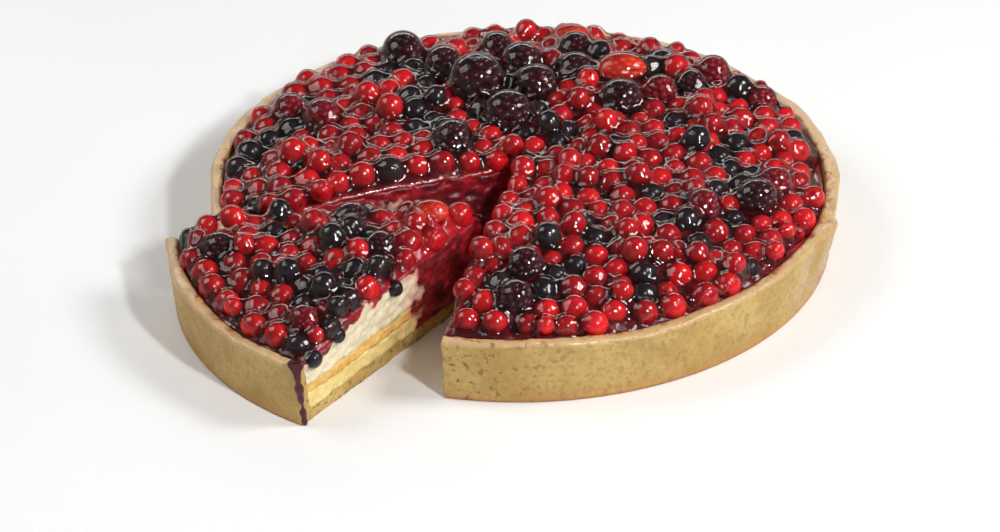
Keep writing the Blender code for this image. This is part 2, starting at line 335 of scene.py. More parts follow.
class Finish:
    """A material's node tree with short names for what these materials use."""

    def __init__(self, name):
        self.material = bpy.data.materials.new(name)
        self.material.use_nodes = True
        self.tree = self.material.node_tree
        self.shader = self.tree.nodes["Principled BSDF"]

    def node(self, kind, **settings):
        made = self.tree.nodes.new(kind)
        for name, value in settings.items():
            setattr(made, name, value)
        return made

    def link(self, output, socket):
        self.tree.links.new(output, socket)

    def set(self, **values):
        for name, value in values.items():
            self.shader.inputs[name.replace("_", " ")].default_value = value

    def layer(self, name):
        return self.node("ShaderNodeAttribute", attribute_name=name).outputs["Fac"]

    def position(self):
        return self.node("ShaderNodeTexCoord").outputs["Object"]

    def noise(self, scale, detail=4.0, roughness=0.55):
        made = self.node("ShaderNodeTexNoise")
        made.inputs["Scale"].default_value = scale
        made.inputs["Detail"].default_value = detail
        made.inputs["Roughness"].default_value = roughness
        self.link(self.position(), made.inputs["Vector"])
        return made.outputs["Fac"]

    def cells(self, scale):
        made = self.node("ShaderNodeTexVoronoi")
        made.inputs["Scale"].default_value = scale
        self.link(self.position(), made.inputs["Vector"])
        return made.outputs["Distance"]

    def math(self, operation, first, second):
        made = self.node("ShaderNodeMath", operation=operation)
        made.use_clamp = operation != "SUBTRACT"
        for value, socket in zip((first, second), made.inputs):
            if isinstance(value, (int, float)):
                socket.default_value = value
            else:
                self.link(value, socket)
        return made.outputs[0]

    def ranged(self, value, low, high, to_low=0.0, to_high=1.0):
        made = self.node("ShaderNodeMapRange", interpolation_type="SMOOTHSTEP")
        self.link(value, made.inputs["Value"])
        for name, number in zip(("From Min", "From Max", "To Min", "To Max"), (low, high, to_low, to_high)):
            made.inputs[name].default_value = number
        return made.outputs["Result"]

    def mixed(self, share, first, second, blend="MIX"):
        """A colour mix. Colours are linear RGB triples or outputs."""
        made = self.node("ShaderNodeMix", data_type="RGBA", blend_type=blend)
        for value, socket in ((share, made.inputs[0]), (first, made.inputs[6]), (second, made.inputs[7])):
            if isinstance(value, tuple):
                socket.default_value = (*value, 1)
            elif isinstance(value, (int, float)):
                socket.default_value = value
            else:
                self.link(value, socket)
        return made.outputs[2]

    def bump(self, height, strength, distance, normal=None):
        made = self.node("ShaderNodeBump")
        made.inputs["Strength"].default_value = strength
        made.inputs["Distance"].default_value = distance
        self.link(height, made.inputs["Height"])
        if normal is not None:
            self.link(normal, made.inputs["Normal"])
        return made.outputs["Normal"]

    def finish(self, colour=None, roughness=None, normal=None):
        for output, name in ((colour, "Base Color"), (roughness, "Roughness"), (normal, "Normal")):
            if output is not None:
                self.link(output, self.shader.inputs[name])
        return self.material


def crust_finish():
    """Baked shortcrust: pale gold, browner low down, juice-stained and glazed at the rim."""
    f = Finish("crust")
    f.set(Subsurface_Weight=0.08, Subsurface_Scale=0.002)
    f.shader.inputs["Subsurface Radius"].default_value = (1.0, 0.6, 0.3)
    cloud = f.ranged(f.noise(45, 5), 0.35, 0.65)
    colour = f.mixed(cloud, (0.43, 0.272, 0.074), (0.535, 0.365, 0.120))
    grain = f.ranged(f.noise(420, 3), 0.42, 0.72)
    colour = f.mixed(f.math("MULTIPLY", grain, 0.6), colour, (0.36, 0.20, 0.05))
    colour = f.mixed(f.layer("bake"), colour, (0.42, 0.19, 0.05))
    colour = f.mixed(f.layer("pale"), colour, (0.60, 0.39, 0.22))
    # Painted shade: the pits are darkened as well as dented, most on the cut faces and near the tart's first
    # cut.
    shaded_pits = f.ranged(f.noise(340, 2, 0.5), 0.58, 0.68)
    shaded_pits = f.math("MULTIPLY", shaded_pits, f.layer("pitted"))
    colour = f.mixed(shaded_pits, colour, (0.26, 0.11, 0.03))
    blotch = f.ranged(f.noise(260, 4), 0.38, 0.60)
    stain = f.math("MULTIPLY", f.layer("stain"), blotch)
    colour = f.mixed(stain, colour, (0.30, 0.018, 0.025))
    rough = f.ranged(f.layer("glaze"), 0.0, 1.0, 0.62, 0.16)
    coarse = f.bump(f.noise(190, 4, 0.6), 0.55, 0.0012)
    fine = f.bump(f.noise(700, 3, 0.6), 0.5, 0.0005, coarse)
    normal = f.bump(f.math("SUBTRACT", 0.0, shaded_pits), 0.6, 0.0006, fine)
    return f.finish(colour, rough, normal)


def layer_finish(name, light, dark, hole_scale, pores, roughness, wet=0.0):
    """A soft cut layer: two near colours in clouds, small pores darkened as painted shade, and juice where
    it has run. The same dark wine also paints shade wherever the stain layer carries it.
    """
    f = Finish(name)
    f.set(Subsurface_Weight=0.25, Subsurface_Scale=0.003, Coat_Weight=wet, Coat_Roughness=0.2)
    f.shader.inputs["Subsurface Radius"].default_value = (1.0, 0.7, 0.4)
    colour = f.mixed(f.ranged(f.noise(160, 5), 0.35, 0.65), dark, light)
    colour = f.mixed(f.math("MULTIPLY", f.ranged(f.noise(900, 3), 0.5, 0.75), 0.35), colour, dark)
    # Painted shade: the pores are darkened as well as dented.
    hole = f.ranged(f.cells(hole_scale), 0.08, 0.20, 1.0, 0.0)
    hole = f.math("MULTIPLY", f.math("MULTIPLY", hole, f.ranged(f.noise(120, 2), 0.45, 0.6)), pores)
    deep = tuple(channel * 0.45 for channel in dark)
    colour = f.mixed(hole, colour, deep)
    blotch = f.ranged(f.noise(380, 5, 0.65), 0.30, 0.62)
    stain = f.layer("stain")
    wash = f.math("MULTIPLY", stain, 0.55)
    colour = f.mixed(wash, colour, (0.72, 0.16, 0.20))
    # Where the stain layer is high, juice stain and painted shade alike turn wine-dark.
    deepest = f.math("MULTIPLY", f.ranged(stain, 0.35, 1.0), blotch)
    soak_and_shade = f.math("ADD", deepest, f.ranged(stain, 0.6, 1.0))
    wine = f.mixed(f.ranged(f.noise(110, 3), 0.4, 0.65), (0.13, 0.003, 0.009), (0.40, 0.008, 0.018))
    colour = f.mixed(soak_and_shade, colour, wine)
    relief = f.bump(f.noise(520, 4, 0.6), 0.5, 0.0006)
    normal = f.bump(f.math("SUBTRACT", 0.0, hole), 0.6, 0.0008, relief)
    f.shader.inputs["Roughness"].default_value = roughness
    return f.finish(colour, None, normal)


def berry_finish(name, skins, glow, scatter, roughness):
    """A fruit skin whose tint varies from berry to berry, by the number painted on each."""
    f = Finish(name)
    f.set(Roughness=roughness, Subsurface_Weight=scatter, Subsurface_Scale=0.0035)
    f.set(Specular_IOR_Level=0.35)
    f.shader.inputs["Subsurface Radius"].default_value = (1.0, 0.14, 0.08)
    tint = f.layer("tint")
    colour = f.mixed(tint, skins[0], skins[1])
    patch = f.ranged(f.noise(330, 3), 0.40, 0.68)
    colour = f.mixed(f.math("MULTIPLY", patch, 0.4), colour, glow)
    colour = f.mixed(f.layer("mark"), colour, skins[2])
    normal = f.bump(f.noise(750, 3), 0.12, 0.0004)
    return f.finish(colour, None, normal)


def jelly_finish():
    """A clear wet film: it lets light straight through and mirrors by its slant."""
    f = Finish("jelly")
    f.tree.nodes.remove(f.shader)
    clear_part = f.node("ShaderNodeBsdfTransparent")
    clear_part.inputs["Color"].default_value = (1.0, 0.95, 0.95, 1)
    mirror = f.node("ShaderNodeBsdfGlossy")
    mirror.inputs["Roughness"].default_value = 0.09
    mirror.inputs["Color"].default_value = (1.0, 0.96, 0.93, 1)
    fresnel = f.node("ShaderNodeFresnel")
    fresnel.inputs["IOR"].default_value = 1.45
    mix = f.node("ShaderNodeMixShader")
    normal = f.bump(f.noise(260, 2), 0.10, 0.0005)
    f.link(normal, mirror.inputs["Normal"])
    f.link(normal, fresnel.inputs["Normal"])
    f.link(fresnel.outputs[0], mix.inputs[0])
    f.link(clear_part.outputs[0], mix.inputs[1])
    f.link(mirror.outputs[0], mix.inputs[2])
    f.link(mix.outputs[0], f.tree.nodes["Material Output"].inputs["Surface"])
    return f.material


def juice_and_shade_finish():
    """Set red juice, nearly black where it is deep. Its dark reds are also painted shade for the hollows
    between the berries.
    """
    f = Finish("juice")
    f.set(Roughness=0.24, Specular_IOR_Level=0.4)
    f.set(Subsurface_Weight=0.2, Subsurface_Scale=0.003)
    f.shader.inputs["Subsurface Radius"].default_value = (1.0, 0.1, 0.08)
    # Painted shade: these near-black reds stand for the shade between the berries as well as for the set
    # juice.
    depth = f.ranged(f.noise(130, 4), 0.35, 0.65)
    colour = f.mixed(depth, (0.13, 0.002, 0.007), (0.04, 0.001, 0.003))
    colour = f.mixed(f.layer("thin"), colour, (0.50, 0.010, 0.020))
    colour = f.mixed(f.layer("deep"), colour, (0.05, 0.001, 0.004))
    return f.finish(colour, None, f.bump(f.noise(300, 3), 0.3, 0.0008))


# ---------------------------------------------------------------- pastry and layers


def crust_outline():
    """The case's section from the axis along its floor, up, over the rim and back underneath."""
    floor, rim, rounding = BASE_THICKNESS, WALL_HEIGHT - 0.5 * MM, 1.9 * MM
    turn = np.linspace(0, math.pi / 2, 5)
    inner, outer = inner_radius(rim) + rounding, outer_radius(rim) - rounding
    over = [(inner - rounding * math.cos(t), rim - rounding + rounding * math.sin(t)) for t in turn]
    over += [(outer + rounding * math.sin(t), rim - rounding + rounding * math.cos(t)) for t in turn]
    foot = 1.2 * MM
    under = [(outer_radius(foot) - foot * (1 - math.cos(t)), foot - foot * math.sin(t)) for t in turn]
    inside = spaced([(0, floor), (inner_radius(floor), floor)], 5 * MM)
    inside += spaced([(inner_radius(floor), floor), (inner_radius(22 * MM), 22 * MM)], 3 * MM)[1:]
    wall = spaced([over[-1], under[0]], 0.8 * MM)[1:-1]
    return (
        inside
        + spaced([inside[-1], over[0]], 0.9 * MM)[1:-1]
        + spaced(over, 0.7 * MM)
        + wall
        + under
        + spaced([under[-1], (0, 0)], 6 * MM)[1:]
    )


def shaped_crust(body, cylinder, side):
    """Moves the swept case's points: the wall's leaning, the hand's dents, the rim's waves."""
    radius, angle, height = cylinder.T
    own = angle - body.turn
    rough = np.column_stack([RIM_RADIUS * direction(own), height])
    outside = eased(inner_radius(height) + 1 * MM, outer_radius(height) - 1.5 * MM, radius)
    on_wall = outside * eased(0, 4 * MM, height)
    wet = wetness(own)
    dents = 0.30 * unevenness(rough, 38 * MM, 21) + 0.16 * unevenness(rough, 12 * MM, 22)
    dents += 0.07 * unevenness(rough, 4 * MM, 23)
    folds = wet * 0.7 * unevenness(rough * (1, 1, 0.35), 13 * MM, 24)
    new_radius = radius + on_wall * (wall_bulge(own) * height / WALL_HEIGHT)
    new_radius += on_wall * MM * (dents + folds - 0.55 - 0.3 * wet)
    near_rim = eased(WALL_HEIGHT - 6 * MM, WALL_HEIGHT - 1 * MM, height)
    waves = rim_rise(own) / MM + 0.18 * unevenness(rough, 9 * MM, 25)
    waves += 0.04 * unevenness(np.column_stack([radius[:, None] * direction(own), height]), 3 * MM, 26)
    new_height = height + near_rim * MM * (waves - 0.25)
    points = body.place(new_radius, angle, new_height)
    drag = 0.35 * unevenness(points, 6 * MM, 27) + 0.22 * unevenness(points, 1.8 * MM, 28)
    points += cut_normals(body, side) * (drag * MM - 0.2 * MM)[:, None]
    return points, own, radius, height, wet


def wetness(angle):
    """Where glaze has run down the wall: near the fold at the right."""
    return np.exp(-((turn_from(angle, math.radians(345)) / math.radians(17)) ** 4))


def make_crust(body, finish):
    cylinder, side, faces = swept(body, crust_outline(), steps_of(body, 0.9 * MM), 0.95 * MM, 1)
    points, own, radius, height, wet = shaped_crust(body, cylinder, side)
    piece = make_piece(f"{body.name}_pastry", points, faces, finish, [f"{body.name}_crust"])
    turn_outwards(piece)
    around = np.column_stack([RIM_RADIUS * direction(own), height])
    outside = eased(inner_radius(height) + 1 * MM, outer_radius(height) - 2 * MM, radius)
    on_rim = eased(WALL_HEIGHT - 3.0 * MM, WALL_HEIGHT - 1.2 * MM, height)
    from_inside = radius - inner_radius(height)
    creep = 1.6 * MM + 1.6 * MM * unevenness(around, 14 * MM, 31) + 0.8 * MM * unevenness(around, 4 * MM, 32)
    stain = on_rim * eased(1.2 * MM, -1.2 * MM, from_inside - creep) * 0.85
    foot_line = eased(2.2 * MM, 0.3 * MM, height) * outside * 0.8
    bake = foot_line + 0.35 * eased(9 * MM, 1 * MM, height) * outside
    bake += 0.30 * wet * outside * eased(-0.6, 0.8, unevenness(around, 15 * MM, 33))
    cut_start = np.abs((np.degrees(own) - np.degrees(NOTCH_END)) % 360)
    near_cut = np.exp(-((cut_start / 14) ** 2)) if body is TART else 0 * own
    pitted = outside * ((0.3 if body is TART else 0.12) + 0.7 * near_cut)
    on_cut = np.abs(side)
    glaze = on_rim * 0.85 + wet * outside + 0.2 * eased(0.5, 1.2, unevenness(around, 18 * MM, 34))
    paint(
        piece,
        stain=np.clip(stain, 0, 1),
        bake=np.clip(bake, 0, 0.9),
        pale=np.clip(0.65 * on_rim * (1 - stain) - 0.3 * wet, 0, 1) * (1 - on_cut),
        pitted=np.clip(np.maximum(pitted, 0.9 * on_cut), 0, 1),
        glaze=np.clip(glaze * (1 - on_cut), 0, 1),
    )
    return piece


def steps_of(body, length):
    return round((body.end - body.start) * RIM_RADIUS / length)


def layer_outline(low, top_points, step):
    """A layer's section: along its top from the axis, down the wall and back underneath."""
    edge = top_points[-1]
    down = spaced([edge, (inner_radius(low), low)], step)[1:]
    return spaced(top_points, step) + down + spaced([down[-1], (0, low)], 4 * MM)[1:]


def make_layer(body, kind, low, top_points, finish, depth_stain):
    """One filling layer. Its cut faces are dragged a little by the knife."""
    outline = layer_outline(low, top_points, 1.1 * MM)
    cylinder, side, faces = swept(body, outline, steps_of(body, 12 * MM), 0.9 * MM, 2)
    radius, angle, height = cylinder.T
    around = np.column_stack([radius[:, None] * direction(angle), height])
    top = shown_cream_height(radius) if kind == "cream" else np.full(len(radius), top_points[0][1])
    wavy = 0.35 * unevenness(around, 16 * MM, 41) + 0.15 * unevenness(around, 5 * MM, 42)
    near_top = eased(low + 0.5 * MM, top - 0.2 * MM, height)
    lift = 2.2 if kind == "cream" else 1.0
    shown = height + near_top * MM * lift * wavy
    points = body.place(radius, angle, shown)
    seed = {"custard": 51, "sponge": 52, "cream": 53}[kind]
    drag = 0.45 * unevenness(points * (1, 1, 2.0), 9 * MM, seed)
    drag += 0.25 * unevenness(points, 2.6 * MM, seed + 10)
    points += cut_normals(body, side) * (drag * MM)[:, None]
    names = [f"{body.name}_{kind}"]
    piece = make_piece(f"{body.name}_{kind}_layer", points, faces, finish, names)
    turn_outwards(piece)
    depth = top - height + 0.9 * MM * unevenness(points, 5 * MM, 43)
    depth += 1.6 * MM * unevenness(points, 14 * MM, 44)
    # Painted shade: near the axis every layer's cut faces get the full wine stain. It stands for the shadow
    # in the gap between tart and slice.
    tip_gap_shade = eased(60 * MM, 40 * MM, radius + 4 * MM * unevenness(points, 12 * MM, 45))
    # Painted shade: on the tart's cut face behind the slice, the cream's juice stain reaches four and a half
    # times as deep. This darkens the face where the slice shades it.
    shaded_face_behind_slice = (side == 1) if body is TART else 0
    reach = depth_stain * (1 + 3.5 * shaded_face_behind_slice)
    stain = eased(reach, 0.15 * reach, depth) if depth_stain else 0 * depth
    # From here on, the stain layer holds juice stain and painted shade together.
    stain = np.maximum(stain, tip_gap_shade)
    on_top = (side == 0) & (depth < 1.5 * MM)
    paint(piece, stain=np.where(on_top, np.maximum(stain, 0.75), stain))
    return piece


def filling_finishes():
    return {
        "custard": layer_finish("custard", (0.80, 0.65, 0.28), (0.70, 0.52, 0.17), 420, 0.35, 0.35, 0.25),
        "sponge": layer_finish("sponge", (0.75, 0.49, 0.15), (0.64, 0.34, 0.07), 650, 0.8, 0.65),
        "cream": layer_finish("cream", (0.74, 0.67, 0.48), (0.68, 0.585, 0.40), 380, 0.3, 0.42, 0.1),
    }


def make_fillings(body, finishes):
    low = BASE_THICKNESS
    edge = inner_radius(CREAM_EDGE_TOP)
    dome = [(edge * share, float(shown_cream_height(edge * share))) for share in np.linspace(0, 1, 40)]
    flat = inner_radius(CUSTARD_TOP)
    make_layer(body, "custard", low, [(0, CUSTARD_TOP), (flat, CUSTARD_TOP)], finishes["custard"], 0)
    flat = inner_radius(SPONGE_TOP)
    make_layer(body, "sponge", CUSTARD_TOP, [(0, SPONGE_TOP), (flat, SPONGE_TOP)], finishes["sponge"], 0)
    make_layer(body, "cream", SPONGE_TOP, dome, finishes["cream"], 3.2 * MM)


# ---------------------------------------------------------------- the heap of small berries

# Clusters of blackcurrants, each as (direction in degrees, distance from the axis in mm, reach in mm)
DARK_TART = (
    (330, 92, 20), (352, 98, 17), (8, 92, 13), (318, 72, 12), (300, 60, 10), (284, 92, 15),
    (268, 102, 16), (296, 105, 10), (22, 70, 13), (62, 100, 20), (95, 60, 30), (120, 92, 20),
    (140, 60, 16), (172, 118, 12), (160, 32, 16), (60, 30, 20), (36, 112, 12), (12, 118, 10),
    (332, 55, 10), (100, 112, 14), (200, 60, 8),
)
DARK_SLICE = (
    (-16, 112, 12), (2, 84, 15), (-6, 62, 12), (14, 92, 14), (22, 120, 9), (-20, 84, 9),
    (18, 66, 12), (6, 106, 9), (24, 100, 8),
)

# Where cream shows beside the case, each as (direction and width in degrees, depth in mm)
BARE_PLACES = ((2, 5, 8), (335, 5, 4), (28, 9, 3), (92, 38, 3.2), (170, 12, 2))


# The heap is laid in passes, each as (berries for a whole tart, smallest and largest radius,
# how far inside a cut in radii, extra distance from the rim, highest rise above the cream)
PASSES = (
    (600, 4.7, 6.0, 0.4, 0, 3.0),
    (400, 4.5, 5.8, 0.6, 4, 6.6),
    (380, 3.5, 4.5, 0.5, 0, 4.2),
)


# Each berry tries this many spots, lies a little sunk in the cream, and is drawn to its neighbours
SPOTS = 520
BERRY_SINK = 1.3 * MM
HEAP_FLOOR = 26.5 * MM
NEARNESS_WEIGHT = 0.35

# From where to where, measured from the slice's tip, its topping turns to red mash
MASH_START, MASH_FULL = 62 * MM, 38 * MM


class Heap:
    """Balls that lie on the cream, each as x, y, z, radius."""

    def __init__(self):
        self.balls = np.zeros((0, 4))
        self.kinds = []

    def add(self, x, y, z, radius, kind):
        self.balls = np.vstack([self.balls, (x, y, z, radius)])
        self.kinds.append(kind)

    def resting_height(self, x, y, floor, radius):
        """How high a ball of that radius lies at each point, on the floor or on other balls."""
        height = floor + radius
        if len(self.balls):
            dx = x[:, None] - self.balls[:, 0]
            dy = y[:, None] - self.balls[:, 1]
            touch = (self.balls[:, 3] + radius) ** 2 - dx**2 - dy**2
            over = np.where(touch > 0, self.balls[:, 2] + np.sqrt(np.maximum(touch, 0)), -1)
            height = np.maximum(height, over.max(axis=1))
        return height

    def nearness(self, x, y, radius):
        """Gap to the second nearest ball, so that berries pack close."""
        if len(self.balls) < 2:
            return np.zeros(len(x))
        gap = np.hypot(x[:, None] - self.balls[:, 0], y[:, None] - self.balls[:, 1])
        gap -= self.balls[:, 3] + radius
        return np.clip(np.partition(gap, 1, axis=1)[:, 1], 0, 3 * MM)


def rim_gap(angle):
    """How far the berries stay from the case's inside: uneven, and wide at one place."""
    ring = np.column_stack([RIM_RADIUS * direction(angle), 0 * angle])
    gap = np.clip(1.0 * unevenness(ring, 45 * MM, 61) + 0.8 * unevenness(ring, 14 * MM, 62), 0, 2.5)
    for degrees, width, depth in BARE_PLACES:
        away = turn_from(angle, math.radians(degrees))
        gap = gap + depth * np.exp(-((away / math.radians(width)) ** 2))
    return MM * gap


def allowed(body, x, y, radius, into_cut, inset):
    """Where a berry's centre may be: inside the case, and no further over a cut than that."""
    angle = body.angle(x, y)
    from_rim = inner_radius(WALL_HEIGHT) - 0.5 * radius - rim_gap(angle) - body.radius(x, y)
    return (from_rim > inset) & (body.inside_cuts(x, y) > into_cut * radius)


def large_berries(body):
    """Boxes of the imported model's large berries that belong to this body."""
    found = []
    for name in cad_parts:
        if name.split("_")[0] in ("bramble", "raspberry", "strawberry"):
            low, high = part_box(name)
            middle = (low + high) / 2
            on_slice = SLICE.inside_cuts(middle.x, middle.y) > 0
            if on_slice == (body is SLICE):
                found.append((name, middle, (high - low) / 2))
    return sorted(found, key=lambda item: item[0])


def fill_heap(body, draw):
    """Lets berry after berry roll to the lowest and closest free place it can find."""
    heap = Heap()
    for _, middle, half in large_berries(body):
        heap.add(middle.x, middle.y, middle.z, min(half.x, half.y) * 0.96, "large")
    share = (body.end - body.start) / (2 * math.pi)
    for berries, smallest, largest, into_cut, inset, limit in PASSES:
        for _ in range(round(berries * share)):
            radius = draw.uniform(smallest, largest) * MM
            angle = draw.uniform(body.start, body.end, SPOTS)
            distance = np.sqrt(draw.uniform(0, 1, SPOTS)) * RIM_RADIUS
            places = body.place(distance, angle, np.zeros(SPOTS))
            fits = allowed(body, places[:, 0], places[:, 1], radius, into_cut, inset * MM)
            if not fits.any():
                continue
            x, y = places[fits, 0], places[fits, 1]
            floor = np.maximum(cream_height(body.radius(x, y)) - BERRY_SINK, HEAP_FLOOR)
            height = heap.resting_height(x, y, floor, radius)
            rise = height - floor - radius
            best = np.argmin(rise + NEARNESS_WEIGHT * heap.nearness(x, y, radius))
            if rise[best] < limit * MM:
                heap.add(x[best], y[best], height[best], radius, None)
    return heap


def choose_kinds(body, heap, draw):
    """Blackcurrants keep to their clusters, and a few are scattered."""
    spots = DARK_TART if body is TART else DARK_SLICE
    middle = 0 if body is TART else (NOTCH_START + NOTCH_END) / 2 + SLICE_TURN
    for number, (x, y, _, _) in enumerate(heap.balls):
        if heap.kinds[number] is not None:
            continue
        dark = 0.09
        for degrees, distance, reach in spots:
            spot = body.axis + direction(middle + math.radians(degrees)) * distance * MM
            away = math.hypot(x - spot[0], y - spot[1]) / (reach * MM)
            dark += 0.85 * math.exp(-((away / 0.8) ** 4))
        heap.kinds[number] = "blackcurrant" if draw.random() < dark else "redcurrant"


def add_edge_berries(heap):
    """The three blackcurrants that the knife left half sunk in the slice's cut face."""
    side = direction(SLICE.end)
    for distance, height, radius in ((104, 31.5, 3.7), (63, 33.6, 3.8), (121.5, 28.6, 4.2)):
        place = SLICE.apex + side * distance * MM
        heap.add(place[0], place[1], height * MM, radius * MM, "blackcurrant")


def ball_net(segments, rings):
    """A unit ball as points and faces, with its poles on Z."""
    points, faces = [(0.0, 0.0, 1.0)], []
    for ring in range(1, rings):
        polar = math.pi * ring / rings
        for step in range(segments):
            angle = 2 * math.pi * step / segments
            wide = math.sin(polar)
            points.append((wide * math.cos(angle), wide * math.sin(angle), math.cos(polar)))
    points.append((0.0, 0.0, -1.0))
    last = len(points) - 1
    for step in range(segments):
        following = (step + 1) % segments
        faces.append((0, 1 + step, 1 + following))
        for ring in range(rings - 2):
            here, below = 1 + ring * segments, 1 + (ring + 1) * segments
            faces.append((here + step, below + step, below + following, here + following))
        foot = 1 + (rings - 2) * segments
        faces.append((last, foot + following, foot + step))
    return np.array(points), faces


def joined(parts):
    """Joins (points, faces, painted numbers) parts into one set of each."""
    points, faces, painted, base = [], [], [], 0
    for part_points, part_faces, numbers in parts:
        points.append(part_points)
        faces += [tuple(corner + base for corner in face) for face in part_faces]
        painted.append(numbers)
        base += len(part_points)
    return np.vstack(points), faces, np.vstack(painted)


def spin(draw):
    return np.array(Euler([draw.uniform(0, 2 * math.pi) for _ in range(3)]).to_matrix())


def currant(place, radius, net, draw, lumpiness):
    """One currant: a ball slightly out of round, with the dried flower's dimple at one pole."""
    unit, faces = net
    relief = unevenness(unit, 1.6, draw.integers(1 << 30), 6) * lumpiness
    near_pole = np.exp(-(((1 - unit[:, 2]) / 0.035) ** 2))
    body = unit * (1 + relief - 0.10 * near_pole)[:, None] * (1, 1, draw.uniform(0.92, 1.0))
    points = body @ spin(draw).T * radius + place
    numbers = np.column_stack([np.full(len(unit), draw.random()), near_pole])
    return points, faces, numbers


def make_currants(heaps, finishes):
    for kind, lumpiness in (("redcurrant", 0.02), ("blackcurrant", 0.055)):
        draw = np.random.default_rng(SEED + len(kind))
        net = ball_net(16, 9)
        parts = []
        for heap in heaps:
            for (x, y, z, radius), own in zip(heap.balls, heap.kinds):
                if own == kind:
                    parts.append(currant((x, y, z), radius, net, draw, lumpiness))
        points, faces, numbers = joined(parts)
        piece = make_piece(f"{kind}s", points, faces, finishes[kind])
        paint(piece, tint=numbers[:, 0], mark=numbers[:, 1])


# ---------------------------------------------------------------- large berries


def spiral_spot(index, count, nudge=0):
    """One of a count of points spread evenly over a unit ball."""
    level = 1 - 2 * (index + 0.5) / count
    around = index * math.pi * (3 - math.sqrt(5)) + nudge
    ring = math.sqrt(1 - level * level)
    return np.array([ring * math.cos(around), ring * math.sin(around), level])


def fitted(points, middle, half):
    """Points scaled and moved to fill a packed berry's box."""
    low, high = points.min(axis=0), points.max(axis=0)
    points = (points - (low + high) / 2) * (2 * np.array(half) / (high - low)) * 0.995
    return points + np.array(middle)


def drupelet_berry(name, middle, half, finish, kind):
    """A bramble or raspberry: beads laid in a spiral over an egg, fitted to the node's box."""
    number = int(name.split("_")[1])
    draw = np.random.default_rng(100 + number + (50 if kind == "raspberry" else 0))
    mean = float(half.x + half.y + half.z) / 3
    bead = max(1.45 * MM, mean * 0.26)
    count = round(4 * math.pi * mean**2 / (2 * bead) ** 2 * 0.98)
    net = ball_net(10, 7)
    tilt = spin(draw)
    parts = []
    core, core_faces = ball_net(14, 10)
    shades = np.column_stack([np.full(len(core), 0.5), np.zeros(len(core))])
    parts.append((core * (mean - bead * 0.9), core_faces, shades))
    for index in range(count):
        spot = spiral_spot(index, count, draw.uniform(-0.12, 0.12)) @ tilt.T
        if spot[2] < -0.55:
            continue
        size = bead * draw.uniform(0.86, 1.14)
        points = net[0] * size * (1, 1, draw.uniform(0.9, 1.05)) + spot * (mean - bead * 0.8)
        tint = np.clip(draw.normal(0.5, 0.22), 0, 1)
        numbers = np.column_stack([np.full(len(points), tint), np.zeros(len(points))])
        parts.append((points, net[1], numbers))
    points, faces, numbers = joined(parts)
    points = fitted(points, middle, half)
    piece = make_piece(f"{name}_fruit", points, faces, finish, [name])
    paint(piece, tint=numbers[:, 0], mark=numbers[:, 1])


def strawberry_piece(name, middle, half, finish):
    """A cut strawberry: a tapered lump with seed dimples, fitted to the node's box."""
    number = int(name.split("_")[1])
    draw = np.random.default_rng(300 + number)
    unit, faces = ball_net(56, 36)
    relief = 0.05 * unevenness(unit, 1.3, 71 + number) + 0.03 * unevenness(unit, 0.5, 72 + number)
    seeds = np.zeros(len(unit))
    for index in range(70):
        spot = spiral_spot(index, 70)
        seeds = np.maximum(seeds, np.exp(-((np.linalg.norm(unit - spot, axis=1) / 0.075) ** 2)))
    points = fitted(unit * (1 + relief - 0.07 * seeds)[:, None], middle, half)
    piece = make_piece(f"{name}_fruit", points, faces, finish, [name])
    tint = 0.5 + 0.4 * unevenness(unit, 0.9, 73 + number)
    paint(piece, tint=np.clip(tint, 0, 1), mark=np.clip(seeds * draw.uniform(0.6, 0.9), 0, 1))


def make_large_berries(finishes):
    for body in BODIES:
        for name, middle, half in large_berries(body):
            kind = name.split("_")[0]
            if kind == "strawberry":
                strawberry_piece(name, middle, half, finishes[kind])
            else:
                drupelet_berry(name, middle, half, finishes[kind], kind)


# ---------------------------------------------------------------- juice and jelly


